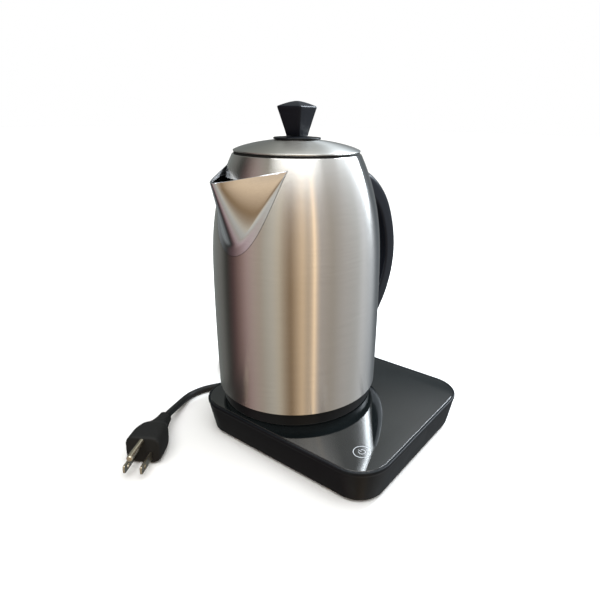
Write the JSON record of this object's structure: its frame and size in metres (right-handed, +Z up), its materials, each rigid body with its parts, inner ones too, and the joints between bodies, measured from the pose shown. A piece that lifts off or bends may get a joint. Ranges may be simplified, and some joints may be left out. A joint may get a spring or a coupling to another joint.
{
  "type": "electric kettle",
  "caption": "Cordless brushed steel kettle jug with V spout, black handle and lift-off domed lid with a square knob, on a rectangular touch-control power base with glass top and mains cord.",
  "frame": {"origin": "on the table, under the middle of the outline of base and jug together (cord and plug left out)", "axes": "+Z up; -Y the side of the base with the touch key, where the user stands; -X the side the spout points to; +Y the back, where the cord leaves"},
  "size_m": [0.2712, 0.2643, 0.2684],
  "materials": {
    "brushed_steel": "satin, brushed round the body",
    "plain_steel": "plain",
    "aluminium": "plain",
    "black_plastic": "satin",
    "handle_plastic": "satin",
    "component_plastic": "gloss",
    "circuit_board": "satin",
    "black_glass": "gloss, black behind",
    "brass_contacts": "plain",
    "rubber": "matte",
    "cord_sheath": "satin"
  },
  "bodies": {
    "base": {"base_bottom_cover": "black_plastic", "base_connector": "black_plastic", "base_contact_ring": "brass_contacts", "base_housing": "black_plastic", "buzzer": "black_plastic", "control_board": "circuit_board", "cord_coil": "cord_sheath", "cord_lead_in": "cord_sheath", "cord_lead_out": "cord_sheath", "cover_screw_1": "plain_steel", "cover_screw_2": "plain_steel", "cover_screw_3": "plain_steel", "cover_screw_4": "plain_steel", "earth_pin": "brass_contacts", "filter_capacitor": "component_plastic", "foot_front_left": "rubber", "foot_front_right": "rubber", "foot_rear_left": "rubber", "foot_rear_right": "rubber", "glass_top": "black_glass", "plug_blade_left": "brass_contacts", "plug_blade_right": "brass_contacts", "plug_body": "cord_sheath", "plug_ground_pin": "brass_contacts", "relay": "component_plastic", "strain_relief": "rubber", "terminal_block": "black_plastic", "touch_board": "circuit_board", "touch_electrode": "brass_contacts"},
    "jug_connector": {"jug_connector": "black_plastic", "jug_contact_blade": "brass_contacts"},
    "jug": {"jug_shell": "brushed_steel", "spout": "brushed_steel", "jug_skirt": "black_plastic", "heat_spreader": "aluminium", "floor_plate": "plain_steel", "heating_element": "plain_steel", "temperature_sensor": "plain_steel", "thermal_fuse": "component_plastic", "handle_grip": "handle_plastic", "handle_cover": "handle_plastic", "handle_bracket_upper": "plain_steel", "handle_bracket_lower": "plain_steel", "handle_screw_upper": "plain_steel", "handle_screw_lower": "plain_steel"},
    "lid": {"lid_dome": "brushed_steel", "lid_seal": "rubber", "lid_inner": "black_plastic", "knob_disc": "handle_plastic", "lid_knob": "handle_plastic", "knob_screw": "plain_steel"}
  },
  "joints": [
    {"name": "jug_lift", "type": "slide", "parent": "base", "child": "jug_connector", "axis": [0, 0, 1], "range_m": [0, 0.25]},
    {"name": "jug_turn", "type": "hinge", "parent": "jug_connector", "child": "jug", "pos_m": [-0.02336, 0.02581, 0.03], "axis": [0, 0, 1], "continuous": true},
    {"name": "lid_lift", "type": "slide", "parent": "jug", "child": "lid", "axis": [0, 0, 1], "range_m": [0, 0.1]}
  ]
}
